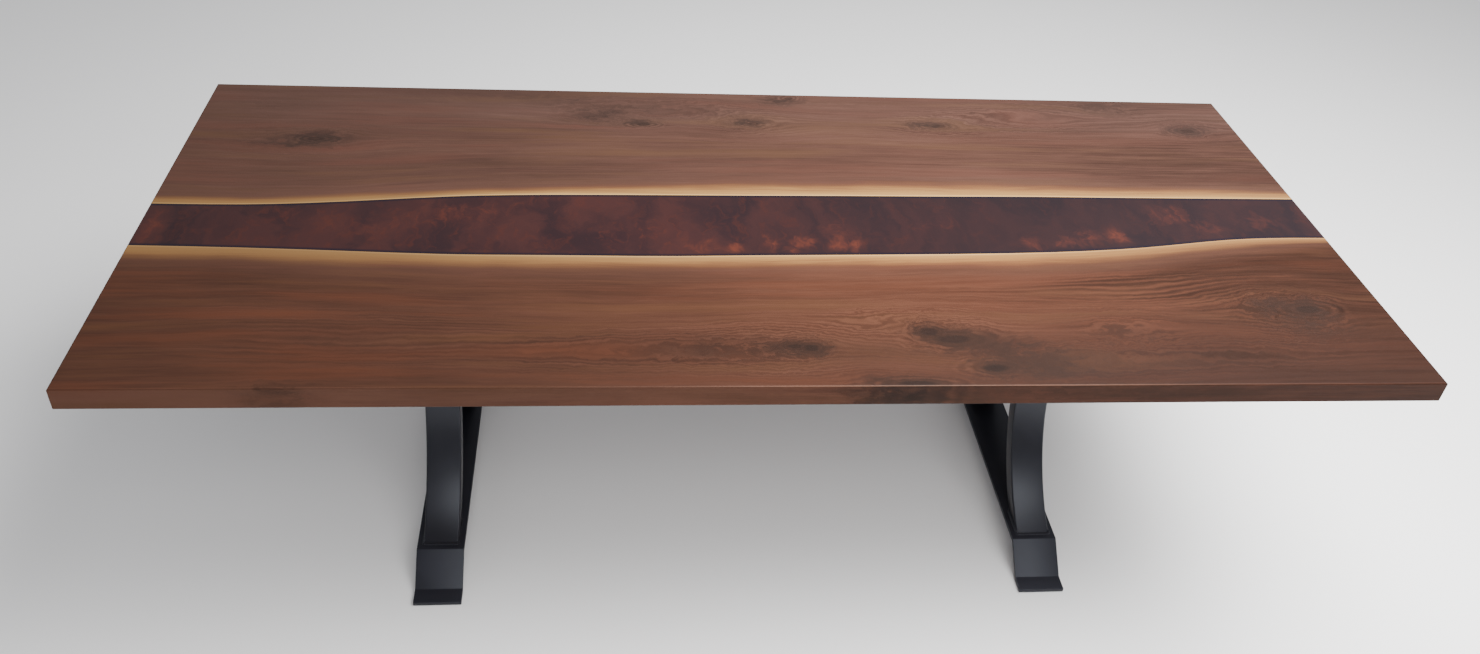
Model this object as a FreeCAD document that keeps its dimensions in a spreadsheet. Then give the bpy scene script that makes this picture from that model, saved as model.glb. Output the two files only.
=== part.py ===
import FreeCAD
import Part
import Sketcher
import math
import os

# A river dining table: two walnut slabs with their live edges facing each other,
# a resin river cast between them, a steel channel let into the underside,
# and two hourglass legs. Each leg is a pair of bent rectangular tubes between a
# top plate and a foot strap. Millimetres, X along the table, Y towards the rear,
# Z up, origin on the floor under the middle of the table.

SIZES = [
    ("top_length", 2438.0, "length of the table top"),
    ("top_width", 1067.0, "width of the table top"),
    ("top_thickness", 44.5, "thickness of slabs and river"),
    ("top_height", 762.0, "floor to the upper face of the top"),
    ("edge_round", 3.0, "round-over along the outer edges of the top"),
    ("bank_lean", 12.0, "how far each live edge leans under the river"),
    ("leg_spacing", 1336.0, "centre to centre of the two legs"),
    ("foot_length", 762.0, "foot strap from lip to lip"),
    ("foot_width", 101.6, "width of the foot strap's flat bar"),
    ("foot_bar", 9.5, "thickness of the foot strap's flat bar"),
    ("foot_rise", 67.0, "floor to the raised top face of the foot strap"),
    ("foot_lip", 35.0, "flat lip at each end of the foot strap"),
    ("foot_slope", 40.0, "slope of the foot strap in degrees"),
    ("foot_bend", 4.0, "outer radius of each bend of the foot strap"),
    ("landing_margin", 13.0, "flat left between a bow's landing and the bend below it"),
    ("pad_thickness", 3.0, "rubber pad under each lip"),
    ("pad_inset", 3.0, "how far a pad stays inside its lip"),
    ("bow_width", 76.2, "width of a bow's rectangular tube"),
    ("bow_depth", 38.1, "depth of a bow's rectangular tube"),
    ("bow_wall", 3.0, "wall of a bow's rectangular tube"),
    ("bow_corner", 2.5, "bevel along the four corners of a bow's tube"),
    ("waist_reach", 72.0, "leg's middle to the outer face of a bow at the waist"),
    ("block_height", 76.0, "height of the waist block"),
    ("block_width", 50.8, "width of the waist block"),
    ("block_wall", 5.0, "wall of the waist block"),
    ("plate_width", 101.6, "width of a leg's top plate"),
    ("plate_thickness", 9.5, "thickness of a leg's top plate"),
    ("slot_travel", 7.0, "how far the top may move along a screw slot, across the grain"),
    ("slot_clearance", 0.5, "clearance of a leg screw at the sides of its slot"),
    ("leg_screw_gauge", 60.0, "distance between the two screws at each end of a top plate"),
    ("leg_screw_room", 64.0, "a bow's upper landing to the leg screws"),
    ("leg_screw_edge", 49.0, "leg screws to the end of the top plate"),
    ("leg_screw_diameter", 8.0, "shank of a leg screw"),
    ("leg_screw_grip", 32.0, "how far a leg screw reaches into the top"),
    ("leg_screw_head", 13.0, "hexagon head of a leg screw, across flats"),
    ("leg_screw_head_height", 5.3, "height of a leg screw's head"),
    ("washer_width", 24.0, "side of a leg screw's square washer"),
    ("washer_thickness", 2.0, "thickness of a leg screw's washer"),
    ("channel_margin", 76.5, "end of the stiffening channel to the long edge of the top"),
    ("channel_width", 38.1, "width of the stiffening channel"),
    ("channel_depth", 12.7, "depth of the stiffening channel"),
    ("channel_wall", 3.2, "wall of the stiffening channel"),
    ("rout_clearance", 0.3, "clearance round the channel in its rout"),
    ("screw_inner_row", 240.0, "table's middle to the inner channel screws"),
    ("screw_edge", 37.0, "outer channel screws to the end of the channel"),
    ("channel_screw_diameter", 6.0, "shank of a channel screw"),
    ("channel_screw_grip", 30.0, "how far a channel screw reaches into the top"),
    ("channel_screw_head", 10.0, "hexagon head of a channel screw, across flats"),
    ("channel_screw_head_height", 4.0, "height of a channel screw's head"),
    ("hole_clearance", 0.1, "radial clearance of a screw in its hole"),
    ("drill_spare", 2.0, "how far a blind hole runs past its screw"),
]

# Where each live edge runs, as distances from the table's long centre line at
# evenly spaced stations. The first and last station lie one space past the ends.
REAR_BANK = [20.0, 20.0, 21.0, 38.0, 60.0, 69.0, 72.0, 74.0, 77.0, 79.0, 82.0, 82.0, 83.0, 84.0, 85.0]
FRONT_BANK = [122.0, 125.0, 130.0, 139.0, 148.0, 149.0, 150.0, 145.0, 141.0, 136.0, 127.0, 107.0,
              76.0, 68.0, 68.0]

doc = FreeCAD.newDocument("live_edge_dining_table")
sheet = doc.addObject("Spreadsheet::Sheet", "Sizes")


def fill_sheet():
    """Writes every driving dimension into the sheet as a plain number with an alias."""
    rows = list(SIZES)
    for bank, offsets in (("rear_bank", REAR_BANK), ("front_bank", FRONT_BANK)):
        for station, offset in enumerate(offsets):
            rows.append((f"{bank}_{station}", offset, "live edge from the centre line"))
    for row, (alias, value, meaning) in enumerate(rows, start=1):
        sheet.set(f"A{row}", meaning)
        sheet.set(f"B{row}", str(value))
        sheet.setAlias(f"B{row}", alias)
    doc.recompute()


class Measure:
    """A length that carries its value and the sheet expression it comes from."""

    def __init__(self, value, text):
        self.value = value
        self.text = text

    @staticmethod
    def of(thing):
        if isinstance(thing, Measure):
            return thing
        return Measure(float(thing), repr(float(thing)))

    def __add__(self, other):
        other = Measure.of(other)
        return Measure(self.value + other.value, f"({self.text} + {other.text})")

    def __sub__(self, other):
        other = Measure.of(other)
        return Measure(self.value - other.value, f"({self.text} - {other.text})")

    def __mul__(self, other):
        other = Measure.of(other)
        return Measure(self.value * other.value, f"({self.text} * {other.text})")

    def __truediv__(self, other):
        other = Measure.of(other)
        return Measure(self.value / other.value, f"({self.text} / {other.text})")

    def __neg__(self):
        return self * -1


MIDDLE = Measure.of(0)


def tangent(degrees):
    """The tangent of an angle that the sheet holds in degrees."""
    return Measure(math.tan(math.radians(degrees.value)), f"tan({degrees.text})")


def size(alias):
    """The driving dimension of that name."""
    return Measure(float(sheet.get(alias)), f"Sizes.{alias}")


def bind(owner, path, measure):
    """Ties a property to the sheet."""
    owner.setExpression(path, measure.text)


def new_body(label, x=None, z=None):
    """An empty body, moved to where its piece stands."""
    body = doc.addObject("PartDesign::Body", label)
    body.Label = label
    if x is not None:
        bind(body, "Placement.Base.x", x)
    if z is not None:
        bind(body, "Placement.Base.z", z)
    return body


def sketch_on(body, plane, height=None):
    """A sketch on one of the body's own planes, lifted along the plane's normal."""
    sketch = body.newObject("Sketcher::SketchObject", f"{body.Name}_{plane[:2].lower()}_sketch")
    support = [feature for feature in body.Origin.OriginFeatures if feature.Role == plane]
    sketch.AttachmentSupport = [(support[0], "")]
    sketch.MapMode = "FlatFace"
    if height is not None:
        bind(sketch, "AttachmentOffset.Base.z", height)
    return sketch


def pin(sketch, edge, end, x=None, y=None):
    """Fixes a sketch point at sheet-driven distances from the sketch's origin."""
    for kind, measure in (("DistanceX", x), ("DistanceY", y)):
        if measure is not None:
            rule = Sketcher.Constraint(kind, -1, 1, edge, end, measure.value)
            bind(sketch, f"Constraints[{sketch.addConstraint(rule)}]", measure)


def set_radius(sketch, edge, radius):
    rule = Sketcher.Constraint("Radius", edge, radius.value)
    bind(sketch, f"Constraints[{sketch.addConstraint(rule)}]", radius)


def join(sketch, first, first_end, second, second_end):
    sketch.addConstraint(Sketcher.Constraint("Coincident", first, first_end, second, second_end))


def point(x, y):
    return FreeCAD.Vector(x.value, y.value, 0)


def polygon(sketch, corners):
    """A closed outline of straight lines with every corner pinned."""
    first = sketch.GeometryCount
    count = len(corners)
    for index, corner in enumerate(corners):
        following = corners[(index + 1) % count]
        sketch.addGeometry(Part.LineSegment(point(*corner), point(*following)))
    for index, corner in enumerate(corners):
        join(sketch, first + index, 2, first + (index + 1) % count, 1)
        pin(sketch, first + index, 1, *corner)


def rectangle(sketch, low_x, high_x, low_y, high_y):
    polygon(sketch, [(low_x, low_y), (high_x, low_y), (high_x, high_y), (low_x, high_y)])


def circle(sketch, x, y, radius):
    edge = sketch.addGeometry(Part.Circle(point(x, y), FreeCAD.Vector(0, 0, 1), radius.value))
    pin(sketch, edge, 3, x, y)
    set_radius(sketch, edge, radius)


def hexagon(sketch, x, y, across_flats):
    """A hexagon with two sides along Y."""
    flat = across_flats / 2
    half_side = flat / math.sqrt(3)
    corners = [(flat, -half_side), (flat, half_side), (MIDDLE, half_side * 2),
               (-flat, half_side), (-flat, -half_side), (MIDDLE, -half_side * 2)]
    polygon(sketch, [(x + dx, y + dy) for dx, dy in corners])


def slot(sketch, x, y, length, width):
    """A round-ended slot along Y."""
    radius = width / 2
    reach = (length - width) / 2
    ends = []
    for side, start in ((1, 0), (-1, math.pi)):
        centre = (x, y + reach * side)
        arc = Part.ArcOfCircle(Part.Circle(point(*centre), FreeCAD.Vector(0, 0, 1), radius.value),
                               start, start + math.pi)
        edge = sketch.addGeometry(arc)
        pin(sketch, edge, 3, *centre)
        set_radius(sketch, edge, radius)
        for end in (1, 2):
            sketch.addConstraint(Sketcher.Constraint("Horizontal", edge, 3, edge, end))
        ends.append((edge, centre))
    (upper, upper_centre), (lower, lower_centre) = ends
    for side, start, finish in ((-1, (upper, 2), (lower, 1)), (1, (lower, 2), (upper, 1))):
        high = point(upper_centre[0] + radius * side, upper_centre[1])
        low = point(lower_centre[0] + radius * side, lower_centre[1])
        ordered = (high, low) if start[0] == upper else (low, high)
        line = sketch.addGeometry(Part.LineSegment(*ordered))
        join(sketch, start[0], start[1], line, 1)
        join(sketch, line, 2, finish[0], finish[1])


def ring_sector(sketch, centre_y, centre_z, inner, outer, low_z, high_z):
    """The part of a ring between two levels, on the side of its centre that faces +Y
    when centre_y is negative and -Y when it is positive."""
    facing = -1 if centre_y.value > 0 else 1
    axis = FreeCAD.Vector(0, 0, 1)
    arcs = []
    for radius in (inner, outer):
        low = math.asin((low_z.value - centre_z.value) / radius.value)
        high = math.asin((high_z.value - centre_z.value) / radius.value)
        if facing < 0:
            low, high = math.pi - high, math.pi - low
        arc = Part.ArcOfCircle(Part.Circle(point(centre_y, centre_z), axis, radius.value), low, high)
        arcs.append(sketch.addGeometry(arc))
    start, finish = (1, 2) if facing > 0 else (2, 1)
    lines = []
    for end in (start, finish):
        a = sketch.getPoint(arcs[0], end)
        b = sketch.getPoint(arcs[1], end)
        lines.append(sketch.addGeometry(Part.LineSegment(a, b)))
    for edge, radius in zip(arcs, (inner, outer)):
        pin(sketch, edge, 3, centre_y, centre_z)
        set_radius(sketch, edge, radius)
        pin(sketch, edge, start, y=low_z)
        pin(sketch, edge, finish, y=high_z)
    for line, end in zip(lines, (start, finish)):
        join(sketch, arcs[0], end, line, 1)
        join(sketch, line, 2, arcs[1], end)


def grow(body, sketch, length, both_ways=False):
    """Pads a sketch along its normal, or evenly both ways."""
    pad = body.newObject("PartDesign::Pad", f"{body.Name}_pad")
    pad.Profile = sketch
    bind(pad, "Length", length)
    if both_ways:
        pad.SideType = "Symmetric"
    doc.recompute()
    return pad


def cut(body, sketch, depth, both_ways=False):
    """Pockets a sketch along its normal, or evenly both ways, and checks that it cuts."""
    before = body.Shape.Volume
    pocket = body.newObject("PartDesign::Pocket", f"{body.Name}_pocket")
    pocket.Profile = sketch
    bind(pocket, "Length", depth)
    pocket.Reversed = True
    if both_ways:
        pocket.SideType = "Symmetric"
    doc.recompute()
    if not body.Shape.Volume < before - 1.0:
        raise RuntimeError(f"{pocket.Name} removes nothing from {body.Label}")
    return pocket


def dress_edges(body, kind, width, wanted):
    """Rounds (Fillet) or bevels (Chamfer) the edges of the body's tip that the test picks."""
    base = body.Tip
    names = [f"Edge{number}" for number, edge in enumerate(base.Shape.Edges, start=1) if wanted(edge)]
    if not names:
        raise RuntimeError(f"no edge to dress on {body.Label}")
    dressing = body.newObject(f"PartDesign::{kind}", f"{body.Name}_{kind.lower()}")
    dressing.Base = (base, names)
    bind(dressing, "Radius" if kind == "Fillet" else "Size", width)
    doc.recompute()
    return dressing


def near(value, target):
    return math.isclose(value, target, abs_tol=0.01)


def upright(edge):
    """Whether an edge stands straight up."""
    box = edge.BoundBox
    return near(box.XLength, 0) and near(box.YLength, 0)


# ---------------------------------------------------------------- the top


def top_underside():
    return size("top_height") - size("top_thickness")


def bank_points(side, lean):
    """The live edge of the front (-1) or rear (+1) slab at one level of the top."""
    bank = "rear_bank" if side > 0 else "front_bank"
    spaces = len(REAR_BANK) - 3
    points = []
    for station in range(len(REAR_BANK)):
        x = size("top_length") * ((station - 1) / spaces - 0.5)
        points.append((x, (size(f"{bank}_{station}") - lean) * side))
    return points


def waste_sketch(body, level, bank_side, waste_side, lean):
    """The area between one live edge and a line beyond one long edge of the top."""
    sketch = sketch_on(body, "XY_Plane", level)
    bank = bank_points(bank_side, lean)
    curve = Part.BSplineCurve()
    curve.interpolate([point(*station) for station in bank])
    edge = sketch.addGeometry(curve)
    sketch.addConstraint(Sketcher.Constraint("Block", edge))
    beyond = size("top_width") * waste_side
    first, last = bank[0], bank[-1]
    corners = [first, (first[0], beyond), (last[0], beyond), last]
    for start, finish in zip(corners, corners[1:]):
        sketch.addGeometry(Part.LineSegment(point(*start), point(*finish)))
    for line in (1, 2, 3):
        pin(sketch, line, 1, *corners[line - 1])
        pin(sketch, line, 2, *corners[line])
    return sketch


def cut_along_bank(body, bank_side, waste_side):
    """Removes what lies past one live edge, with the edge leaning under the river."""
    before = body.Shape.Volume
    margin = size("top_thickness") / 4
    spare = size("bank_lean") / 4
    upper = waste_sketch(body, size("top_height") + margin, bank_side, waste_side, -spare)
    lower = waste_sketch(body, top_underside() - margin, bank_side, waste_side, size("bank_lean") + spare)
    loft = body.newObject("PartDesign::SubtractiveLoft", f"{body.Name}_bank")
    loft.Profile = lower
    loft.Sections = [upper]
    loft.Ruled = True
    doc.recompute()
    if not body.Shape.Volume < before - 1.0:
        raise RuntimeError(f"{loft.Name} removes nothing from {body.Label}")


def board_blank(label):
    """The whole top as one board with its outer edges rounded over."""
    body = new_body(label)
    outline = sketch_on(body, "XY_Plane", top_underside())
    half_length = size("top_length") / 2
    half_width = size("top_width") / 2
    rectangle(outline, -half_length, half_length, -half_width, half_width)
    grow(body, outline, size("top_thickness"))
    dress_edges(body, "Fillet", size("edge_round"), lambda edge: not upright(edge))
    return body


def channel_reach():
    """From the table's long centre line to the end of the channel."""
    return size("top_width") / 2 - size("channel_margin")


def rout_for_channel(body):
    """Cuts the shallow rout for the channel's web and the two slots for its flanges."""
    underside = top_underside()
    clear = size("rout_clearance")
    half_width = size("channel_width") / 2 + clear
    half_length = channel_reach() + clear
    slot_width = size("channel_wall") + clear * 2
    web = sketch_on(body, "XY_Plane", underside)
    rectangle(web, -half_width, half_width, -half_length, half_length)
    cut(body, web, size("channel_wall"))
    flanges = sketch_on(body, "XY_Plane", underside)
    for low, high in ((-half_width, -half_width + slot_width), (half_width - slot_width, half_width)):
        rectangle(flanges, low, high, -half_length, half_length)
    cut(body, flanges, size("channel_depth") + clear)


def leg_places():
    half = size("leg_spacing") / 2
    return [("left", -half), ("right", half)]


def leg_screw_spots(side):
    """Screw centres at one end of a leg's top plate, from the leg's own middle."""
    half_gauge = size("leg_screw_gauge") / 2
    row = (landing_reach() + size("leg_screw_room")) * side
    return [(half_gauge * step, row) for step in (-1, 1)]


def channel_screw_spots(side):
    """Screw centres on one half of the channel."""
    rows = (size("screw_inner_row"), channel_reach() - size("screw_edge"))
    return [(MIDDLE, row * side) for row in rows]


def hole_radius(screw):
    return size(f"{screw}_diameter") / 2 + size("hole_clearance")


def drill_for_screws(body, side):
    """Bores the blind holes that take the screws of the legs and the channel."""
    leg_spots = [(place + x, y) for _, place in leg_places() for x, y in leg_screw_spots(side)]
    for screw, spots in (("leg_screw", leg_spots), ("channel_screw", channel_screw_spots(side))):
        holes = sketch_on(body, "XY_Plane", top_underside())
        for x, y in spots:
            circle(holes, x, y, hole_radius(screw))
        cut(body, holes, size(f"{screw}_grip") + size("drill_spare"))


def build_slab(label, side):
    """A walnut slab with its live edge towards the river."""
    body = board_blank(label)
    cut_along_bank(body, side, -side)
    rout_for_channel(body)
    drill_for_screws(body, side)
    return body


def build_river():
    """The resin cast between the two live edges, over the full thickness."""
    body = board_blank("epoxy_river")
    for side in (-1, 1):
        cut_along_bank(body, side, side)
    rout_for_channel(body)
    return body


# -------------------------------------------------- the channel and the screws


def build_channel():
    """A rolled C-channel with its flanges up in the top and its web flush with the underside."""
    body = new_body("stiffening_channel", MIDDLE, top_underside())
    half = size("channel_width") / 2
    wall = size("channel_wall")
    depth = size("channel_depth")
    profile = sketch_on(body, "XZ_Plane")
    polygon(profile, [(-half, MIDDLE), (half, MIDDLE), (half, depth), (half - wall, depth),
                      (half - wall, wall), (-half + wall, wall), (-half + wall, depth), (-half, depth)])
    grow(body, profile, channel_reach() * 2, both_ways=True)
    holes = sketch_on(body, "XY_Plane")
    for side in (-1, 1):
        for x, y in channel_screw_spots(side):
            circle(holes, x, y, hole_radius("channel_screw"))
    cut(body, holes, wall * 2)
    return body


def build_screws(label, screw, spots, seat, x):
    """Hexagon head screws, heads down, whose heads bear on the level named seat."""
    body = new_body(label, x)
    head_height = size(f"{screw}_head_height")
    heads = sketch_on(body, "XY_Plane", seat - head_height)
    shanks = sketch_on(body, "XY_Plane", seat)
    for spot_x, spot_y in spots:
        hexagon(heads, spot_x, spot_y, size(f"{screw}_head"))
        circle(shanks, spot_x, spot_y, size(f"{screw}_diameter") / 2)
    grow(body, heads, head_height)
    grow(body, shanks, top_underside() - seat + size(f"{screw}_grip"))
    return body


def build_washers(label, spots, level, x):
    """Square plate washers that bridge the slots of a top plate."""
    body = new_body(label, x)
    sketch = sketch_on(body, "XY_Plane", level)
    half = size("washer_width") / 2
    for spot_x, spot_y in spots:
        rectangle(sketch, spot_x - half, spot_x + half, spot_y - half, spot_y + half)
        circle(sketch, spot_x, spot_y, hole_radius("leg_screw"))
    grow(body, sketch, size("washer_thickness"))
    return body


# ------------------------------------------------------------------ the legs


def plate_underside():
    return top_underside() - size("plate_thickness")


def lip_top():
    return size("pad_thickness") + size("foot_bar")


def foot_toe():
    """From a leg's middle to where the lip of the foot strap turns up."""
    return size("foot_length") / 2 - size("foot_lip")


def foot_shoulder():
    """From a leg's middle to where the slope meets the raised top of the strap."""
    return foot_toe() - (size("foot_rise") - lip_top()) / tangent(size("foot_slope"))


def landing_reach():
    """From a leg's middle to where the hollow face of a bow lands on the strap and plate."""
    return foot_shoulder() - size("landing_margin")


def bow_height():
    """The level of a bow's waist and half its height."""
    low, high = size("foot_rise"), plate_underside()
    return (low + high) / 2, (high - low) / 2


def hollow_radius():
    """The radius of the arc through both landings and the waist of a bow's hollow face."""
    half_height = bow_height()[1]
    sag = landing_reach() - size("waist_reach")
    return (half_height * half_height + sag * sag) / (sag * 2)


def build_top_plate(name, x):
    """The flat bar under the top, with slots across the grain for the screws."""
    body = new_body(f"top_plate_{name}", x)
    half_width = size("plate_width") / 2
    half_length = landing_reach() + size("leg_screw_room") + size("leg_screw_edge")
    outline = sketch_on(body, "XY_Plane", plate_underside())
    rectangle(outline, -half_width, half_width, -half_length, half_length)
    grow(body, outline, size("plate_thickness"))
    slots = sketch_on(body, "XY_Plane", plate_underside())
    slot_width = size("leg_screw_diameter") + size("slot_clearance") * 2
    for side in (-1, 1):
        for spot_x, spot_y in leg_screw_spots(side):
            slot(slots, spot_x, spot_y, slot_width + size("slot_travel"), slot_width)
    cut(body, slots, size("plate_thickness"))
    return body


def build_bow(name, side, x):
    """A rectangular tube bent to an arc that bulges towards the leg's middle."""
    body = new_body(f"bow_{'rear' if side > 0 else 'front'}_{name}", x)
    inner = hollow_radius()
    outer = inner + size("bow_depth")
    wall = size("bow_wall")
    centre_y = (size("waist_reach") + inner) * side
    centre_z, half_height = bow_height()
    levels = (centre_z - half_height, centre_z + half_height)
    profile = sketch_on(body, "YZ_Plane")
    ring_sector(profile, centre_y, centre_z, inner, outer, *levels)
    grow(body, profile, size("bow_width"), both_ways=True)
    dress_edges(body, "Chamfer", size("bow_corner"), lambda edge: isinstance(edge.Curve, Part.Circle))
    hollow = sketch_on(body, "YZ_Plane")
    ring_sector(hollow, centre_y, centre_z, inner + wall, outer - wall, *levels)
    cut(body, hollow, size("bow_width") - wall * 2, both_ways=True)
    return body


def build_waist_block(name, x):
    """A short box tube between the two bows, its ends coped to their backs."""
    body = new_body(f"waist_block_{name}", x)
    centre_z = bow_height()[0]
    back = hollow_radius() + size("bow_depth")
    centre_y = size("waist_reach") + hollow_radius()
    half_height = size("block_height") / 2
    profile = sketch_on(body, "YZ_Plane")
    low, high = centre_z - half_height, centre_z + half_height
    axis = FreeCAD.Vector(0, 0, 1)
    turn = math.asin(half_height.value / back.value)
    front = profile.addGeometry(Part.ArcOfCircle(
        Part.Circle(point(-centre_y, centre_z), axis, back.value), -turn, turn))
    rear = profile.addGeometry(Part.ArcOfCircle(
        Part.Circle(point(centre_y, centre_z), axis, back.value), math.pi - turn, math.pi + turn))
    for edge, place, bottom, top in ((front, -centre_y, 1, 2), (rear, centre_y, 2, 1)):
        pin(profile, edge, 3, place, centre_z)
        set_radius(profile, edge, back)
        pin(profile, edge, bottom, y=low)
        pin(profile, edge, top, y=high)
    for front_end, rear_end in ((1, 2), (2, 1)):
        line = profile.addGeometry(Part.LineSegment(
            profile.getPoint(front, front_end), profile.getPoint(rear, rear_end)))
        join(profile, front, front_end, line, 1)
        join(profile, line, 2, rear, rear_end)
    grow(body, profile, size("block_width"), both_ways=True)
    wall = size("block_wall")
    bore = sketch_on(body, "XZ_Plane")
    half_width = size("block_width") / 2 - wall
    rectangle(bore, -half_width, half_width, low + wall, high - wall)
    cut(body, bore, size("waist_reach") * 2, both_ways=True)
    return body


def build_foot_strap(name, x):
    """A flat bar bent into a low bridge: lip, slope, raised middle, slope, lip."""
    body = new_body(f"foot_strap_{name}", x)
    bar = size("foot_bar")
    tip = size("foot_length") / 2
    lip = lip_top()
    crest = size("foot_rise")
    toe = foot_toe()
    shoulder = foot_shoulder()
    shift = bar * tangent(size("foot_slope") / 2)
    upper = [(tip, lip), (toe, lip), (shoulder, crest)]
    under = [(tip, lip - bar), (toe - shift, lip - bar), (shoulder - shift, crest - bar)]
    corners = upper + [(-y, z) for y, z in reversed(upper)]
    corners += [(-y, z) for y, z in under] + list(reversed(under))
    profile = sketch_on(body, "YZ_Plane")
    polygon(profile, corners)
    grow(body, profile, size("foot_width"), both_ways=True)
    bends = [(y.value, z.value) for y, z in upper[1:] + under[1:]]

    def at_bend(edge):
        middle = edge.BoundBox.Center
        return any(near(abs(middle.y), y) and near(middle.z, z) for y, z in bends)

    dress_edges(body, "Fillet", size("foot_bend"), at_bend)
    return body


def build_foot_pad(name, side, x):
    """A rubber pad glued under a lip."""
    box = doc.addObject("Part::Box", f"foot_pad_{'rear' if side > 0 else 'front'}_{name}")
    box.Label = box.Name
    inset = size("pad_inset")
    width = size("foot_width") - inset * 2
    depth = size("foot_lip") - inset
    near_edge = foot_toe()
    bind(box, "Length", width)
    bind(box, "Width", depth)
    bind(box, "Height", size("pad_thickness"))
    bind(box, "Placement.Base.x", x - width / 2)
    bind(box, "Placement.Base.y", near_edge if side > 0 else -near_edge - depth)
    return box


def build_leg(name, x):
    seat = plate_underside() - size("washer_thickness")
    spots = leg_screw_spots(-1) + leg_screw_spots(1)
    pieces = [build_top_plate(name, x), build_foot_strap(name, x), build_waist_block(name, x)]
    for side in (-1, 1):
        pieces.append(build_bow(name, side, x))
        pieces.append(build_foot_pad(name, side, x))
    pieces.append(build_screws(f"leg_screws_{name}", "leg_screw", spots, seat, x))
    pieces.append(build_washers(f"leg_washers_{name}", spots, seat, x))
    return pieces


# --------------------------------------------------------------- the assembly


def build_table():
    pieces = [build_slab("slab_front", -1), build_slab("slab_rear", 1), build_river(), build_channel()]
    spots = channel_screw_spots(-1) + channel_screw_spots(1)
    pieces.append(build_screws("channel_screws", "channel_screw", spots, top_underside(), MIDDLE))
    for name, x in leg_places():
        pieces.extend(build_leg(name, x))
    return pieces


def check_document():
    for item in doc.Objects:
        if "Invalid" in item.State or "Error" in item.State:
            raise RuntimeError(f"{item.Name} did not compute: {item.State}")


def write_parts(pieces):
    os.makedirs("parts", exist_ok=True)
    for piece in pieces:
        shape = piece.Shape
        if shape.isNull() or not shape.isValid():
            raise RuntimeError(f"{piece.Label} has no valid shape")
        shape.exportStep(os.path.join("parts", f"{piece.Label}.step"))
        box = shape.BoundBox
        print(f"{piece.Label:22s} solids {len(shape.Solids):2d}  volume {shape.Volume / 1000:10.1f} cm3  "
              f"x {box.XMin:8.1f} {box.XMax:8.1f}  y {box.YMin:7.1f} {box.YMax:7.1f}  "
              f"z {box.ZMin:6.1f} {box.ZMax:6.1f}")


fill_sheet()
table = build_table()
doc.recompute()
check_document()
write_parts(table)
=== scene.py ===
# %% [markdown]
# # A walnut river table on black steel legs
#
# The real object is a dining table for eight. Two walnut boards keep the wavy outer edge of
# the tree, but the boards are turned so that those edges face each other. The gap between
# them is poured full of dark, slightly pearly resin, and two hourglass legs of rectangular
# steel tube carry the top on flat bars that are bent into low bridges.
#
# The solid frame of the table is made already, so the first step only loads it. Its corners
# are noted before anything is added, because what is dressed over it has to stay inside.

# %% Load the frame
import math

import bmesh
import bpy
from bmesh.types import BMEdge, BMVert
from mathutils import Matrix, Quaternion, Vector


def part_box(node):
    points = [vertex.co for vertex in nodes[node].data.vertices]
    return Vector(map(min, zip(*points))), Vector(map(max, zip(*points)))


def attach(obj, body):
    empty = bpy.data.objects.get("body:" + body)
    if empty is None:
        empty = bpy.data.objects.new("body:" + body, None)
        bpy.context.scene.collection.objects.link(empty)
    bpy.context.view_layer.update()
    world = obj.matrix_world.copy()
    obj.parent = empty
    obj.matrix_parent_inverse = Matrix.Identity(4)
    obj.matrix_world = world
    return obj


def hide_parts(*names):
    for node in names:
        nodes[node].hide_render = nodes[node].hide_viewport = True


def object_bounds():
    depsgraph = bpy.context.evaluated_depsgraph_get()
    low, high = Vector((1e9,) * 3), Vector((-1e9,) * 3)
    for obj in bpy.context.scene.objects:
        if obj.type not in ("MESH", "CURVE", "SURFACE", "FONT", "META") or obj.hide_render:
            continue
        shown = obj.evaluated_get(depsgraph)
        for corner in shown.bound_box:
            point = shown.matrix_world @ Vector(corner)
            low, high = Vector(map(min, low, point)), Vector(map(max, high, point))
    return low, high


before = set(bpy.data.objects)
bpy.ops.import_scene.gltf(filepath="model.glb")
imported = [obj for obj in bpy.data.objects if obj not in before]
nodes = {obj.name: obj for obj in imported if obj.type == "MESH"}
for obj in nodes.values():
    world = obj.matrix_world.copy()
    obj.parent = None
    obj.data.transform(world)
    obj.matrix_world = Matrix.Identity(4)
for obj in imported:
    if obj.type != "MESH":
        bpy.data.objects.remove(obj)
frame_corners = [list(corner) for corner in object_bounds()]
print("nodes:", len(nodes), "size:", [round(b - a, 3) for a, b in zip(*frame_corners)])

# %% [markdown]
# ## The camera
#
# A table is read best from the height of someone who walks up to it. The camera stands over
# two metres high, close to the long side and a little left of the middle, looks down and is
# tipped a few degrees, as a camera in the hand is. A rotation that aims the lens and a
# second one about the line of sight say that more plainly than three mixed angles.

# %% Place the camera
PICTURE_WIDTH = 1480
FOCAL_PIXELS = 1196.5
SHIFT_PIXELS = (18.3, -61.4)
SENSOR_MM = 36.0
LENS_POINT = (-0.3176, -2.0634, 2.1321)
PITCH, YAW, TIP = (math.radians(a) for a in (35.84, 6.97, 4.41))

camera = bpy.data.objects.new("camera", bpy.data.cameras.new("camera"))
bpy.context.scene.collection.objects.link(camera)
bpy.context.scene.camera = camera
camera.data.sensor_width = SENSOR_MM
camera.data.lens = SENSOR_MM * FOCAL_PIXELS / PICTURE_WIDTH
camera.data.shift_x, camera.data.shift_y = (pixels / PICTURE_WIDTH for pixels in SHIFT_PIXELS)
sight = Vector((math.sin(YAW) * math.cos(PITCH), math.cos(YAW) * math.cos(PITCH), -math.sin(PITCH)))
camera.location = LENS_POINT
camera.rotation_mode = "QUATERNION"
camera.rotation_quaternion = sight.to_track_quat("-Z", "Y") @ Quaternion((0, 0, 1), TIP)
print("lens:", round(camera.data.lens, 1), "mm")

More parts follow.
